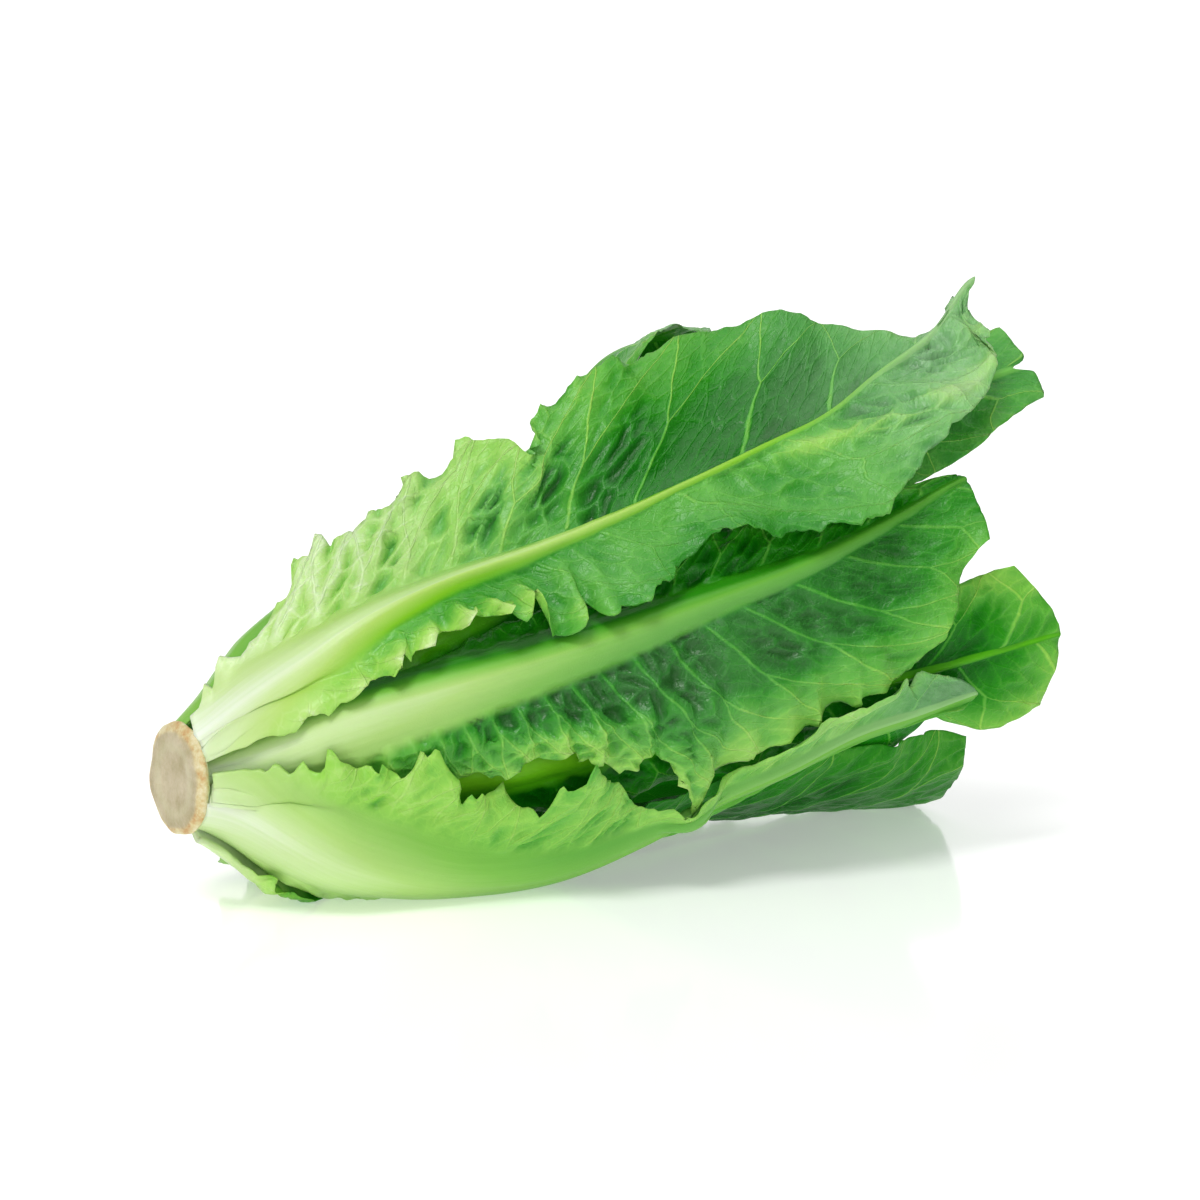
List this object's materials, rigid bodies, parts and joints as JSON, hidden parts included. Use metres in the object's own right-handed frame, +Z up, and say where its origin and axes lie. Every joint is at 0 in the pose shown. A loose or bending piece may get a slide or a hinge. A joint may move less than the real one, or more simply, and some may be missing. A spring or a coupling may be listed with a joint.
{
  "type": "romaine heart",
  "caption": "Head of romaine lettuce lying on its side, with a cut stem, pale ribs and layered, waved green leaves opening at one end.",
  "frame": {"origin": "the point on the surface under the middle of the head's bounding box, where the head lies", "axes": "+Z up, +X along the head from the cut stem to the open leaf tips, -Y towards the front leaves"},
  "size_m": [0.24, 0.1554, 0.1518],
  "materials": {
    "stem": "damp, matt cut stem, buff with an orange-brown rim",
    "outer_leaf": "waxy fresh leaf, light to mid green, near white at the rib's base, soft sheen",
    "inner_leaf": "waxy fresh leaf, deep green blade with paler veins, soft sheen",
    "heart_leaf": "waxy young leaf, yellow-green, soft sheen"
  },
  "bodies": {
    "root": {"stem": "stem", "leaf_front_top": "outer_leaf", "leaf_front_middle": "outer_leaf", "leaf_front_low": "outer_leaf", "leaf_underside": "outer_leaf", "leaf_back_top": "outer_leaf", "leaf_back_middle": "outer_leaf", "leaf_back_low": "outer_leaf", "leaf_second_front": "inner_leaf", "leaf_second_top": "inner_leaf", "leaf_second_under": "inner_leaf", "leaf_second_back": "inner_leaf", "leaf_second_far": "inner_leaf", "leaf_third_back": "inner_leaf", "leaf_third_front": "inner_leaf", "leaf_third_top": "inner_leaf", "heart_1": "heart_leaf", "heart_2": "heart_leaf", "heart_3": "heart_leaf", "heart_4": "heart_leaf"}
  },
  "joints": []
}
